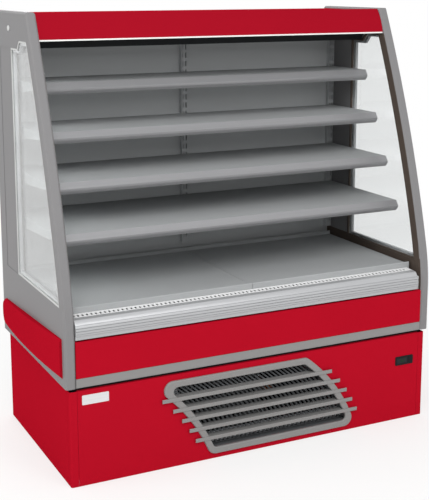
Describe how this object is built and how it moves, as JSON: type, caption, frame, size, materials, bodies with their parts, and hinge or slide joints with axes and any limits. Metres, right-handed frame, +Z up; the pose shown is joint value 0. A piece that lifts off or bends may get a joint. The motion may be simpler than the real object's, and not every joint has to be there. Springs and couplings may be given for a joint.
{
  "type": "open multideck display fridge",
  "caption": "Self-contained open display fridge: red base with grille, glazed end panels, tiered shelves under a curved canopy with a night blind.",
  "frame": {"origin": "on the floor under the middle of the outer box", "axes": "+Z up, the open front faces -Y, +X to the right seen from the front"},
  "size_m": [1.43, 0.7, 1.484],
  "materials": {
    "red_panel": "red powder-coated sheet steel, satin",
    "red_bumper": "red moulded plastic, satin",
    "grey_panel": "mid-grey moulded shell, fine texture",
    "grey_trim": "light grey moulded plastic",
    "silver_profile": "anodised extrusion, drawn lines",
    "pale_interior": "pale grey coated sheet steel",
    "shelf_rail": "grey anodised price rail",
    "galvanised": "galvanised sheet steel",
    "dark_plastic": "black moulded plastic",
    "display_window": "smoked window",
    "pane": "sealed double pane, clear",
    "seal_rubber": "grey glazing seal",
    "pale_lip": "pale extruded lip",
    "lamp_glass": "opal lamp tube",
    "reflector_white": "white reflector",
    "blind_cloth": "silver-grey blind cloth",
    "copper_tube": "copper tube",
    "compressor_black": "black stove enamel",
    "fin_aluminium": "thin pressed fins",
    "foam_skin": "coated sheet over foam",
    "foot_rubber": "black rubber foot"
  },
  "bodies": {
    "root": {"chassis_tray": "galvanised", "corner_posts": "red_panel", "levelling_feet": "foot_rubber", "base_front_panel": "red_panel", "base_side_panels": "red_panel", "base_rear_panel": "red_panel", "plinth_ring": "dark_plastic", "grille_frame": "grey_trim", "grille_bars": "grey_trim", "grille_ribs": "grey_trim", "controller_case": "dark_plastic", "controller_window": "display_window", "end_panel_left": "grey_panel", "end_panel_right": "grey_panel", "window_seals": "seal_rubber", "end_glasses": "pane", "side_bumpers": "red_bumper", "lower_rail": "grey_trim", "front_bumper": "red_bumper", "sill_profile": "silver_profile", "return_air_strip": "silver_profile", "insulated_tub": "foam_skin", "roof_panel": "red_panel", "rear_duct_panel": "pale_interior", "shelf_uprights": "pale_interior", "canopy_front": "red_panel", "canopy_lip": "pale_lip", "canopy_brackets": "galvanised", "lamp_reflector": "reflector_white", "lamp_tube": "lamp_glass", "air_outlet": "dark_plastic", "condenser_coil": "fin_aluminium", "fan_shroud": "galvanised", "condenser_fan_motor": "dark_plastic", "compressor": "compressor_black", "refrigerant_pipes": "copper_tube", "electrical_box": "galvanised", "condensate_tray": "galvanised", "evaporator_coil": "fin_aluminium", "fan_plate": "galvanised", "evaporator_fan_motors": "dark_plastic", "blind_fabric": "blind_cloth"},
    "shelf_1": {"shelf_1": "pale_interior", "price_rail_1": "shelf_rail"},
    "shelf_2": {"shelf_2": "pale_interior", "price_rail_2": "shelf_rail"},
    "shelf_3": {"shelf_3": "pale_interior", "price_rail_3": "shelf_rail"},
    "shelf_4": {"shelf_4": "pale_interior", "price_rail_4": "shelf_rail"},
    "deck_left": {"deck_pan_left": "pale_interior"},
    "deck_right": {"deck_pan_right": "pale_interior"},
    "blind_bar": {"blind_bar": "dark_plastic"},
    "blind_roller": {"blind_roller": "blind_cloth"},
    "condenser_fan": {"condenser_fan": "dark_plastic"},
    "evaporator_fan_left": {"evaporator_fan_left": "dark_plastic"},
    "evaporator_fan_right": {"evaporator_fan_right": "dark_plastic"},
    "key_1": {"controller_key_1": "dark_plastic"},
    "key_2": {"controller_key_2": "dark_plastic"},
    "key_3": {"controller_key_3": "dark_plastic"}
  },
  "joints": [
    {"name": "shelf_1_tip", "type": "hinge", "parent": "root", "child": "shelf_1", "pos_m": [0, 0.268, 1.239], "axis": [-1, 0, 0], "range_deg": [0, 12]},
    {"name": "shelf_2_tip", "type": "hinge", "parent": "root", "child": "shelf_2", "pos_m": [0, 0.268, 1.084], "axis": [-1, 0, 0], "range_deg": [0, 12]},
    {"name": "shelf_3_tip", "type": "hinge", "parent": "root", "child": "shelf_3", "pos_m": [0, 0.268, 0.929], "axis": [-1, 0, 0], "range_deg": [0, 12]},
    {"name": "shelf_4_tip", "type": "hinge", "parent": "root", "child": "shelf_4", "pos_m": [0, 0.268, 0.774], "axis": [-1, 0, 0], "range_deg": [0, 12]},
    {"name": "deck_left_lift", "type": "hinge", "parent": "root", "child": "deck_left", "pos_m": [0, 0.263, 0.578], "axis": [-1, 0, 0], "range_deg": [0, 15]},
    {"name": "deck_right_lift", "type": "hinge", "parent": "root", "child": "deck_right", "pos_m": [0, 0.263, 0.578], "axis": [-1, 0, 0], "range_deg": [0, 15]},
    {"name": "blind_pull", "type": "slide", "parent": "root", "child": "blind_bar", "axis": [0, -0.3115, -0.9502], "range_m": [0, 0.876], "stiffness_N_per_m": 6, "springref_m": -4, "deforming": ["blind_fabric"]},
    {"name": "blind_roll", "type": "hinge", "parent": "root", "child": "blind_roller", "pos_m": [0, -0.02457, 1.426], "axis": [1, 0, 0], "range_deg": [0, 3880]},
    {"name": "condenser_fan_spin", "type": "hinge", "parent": "root", "child": "condenser_fan", "pos_m": [-0.11, -0.191, 0.151], "axis": [0, 1, 0], "continuous": true},
    {"name": "evaporator_fan_left_spin", "type": "hinge", "parent": "root", "child": "evaporator_fan_left", "pos_m": [-0.32925, 0.021, 0.449], "axis": [0, 1, 0], "continuous": true},
    {"name": "evaporator_fan_right_spin", "type": "hinge", "parent": "root", "child": "evaporator_fan_right", "pos_m": [0.32925, 0.021, 0.449], "axis": [0, 1, 0], "continuous": true},
    {"name": "key_1_press", "type": "slide", "parent": "root", "child": "key_1", "axis": [0, 1, 0], "range_m": [0, 0.0006], "stiffness_N_per_m": 400},
    {"name": "key_2_press", "type": "slide", "parent": "root", "child": "key_2", "axis": [0, 1, 0], "range_m": [0, 0.0006], "stiffness_N_per_m": 400},
    {"name": "key_3_press", "type": "slide", "parent": "root", "child": "key_3", "axis": [0, 1, 0], "range_m": [0, 0.0006], "stiffness_N_per_m": 400}
  ],
  "couplings": [
    {"joint": "blind_roll", "follows": "blind_pull", "rad_per_m": 76.923}
  ]
}
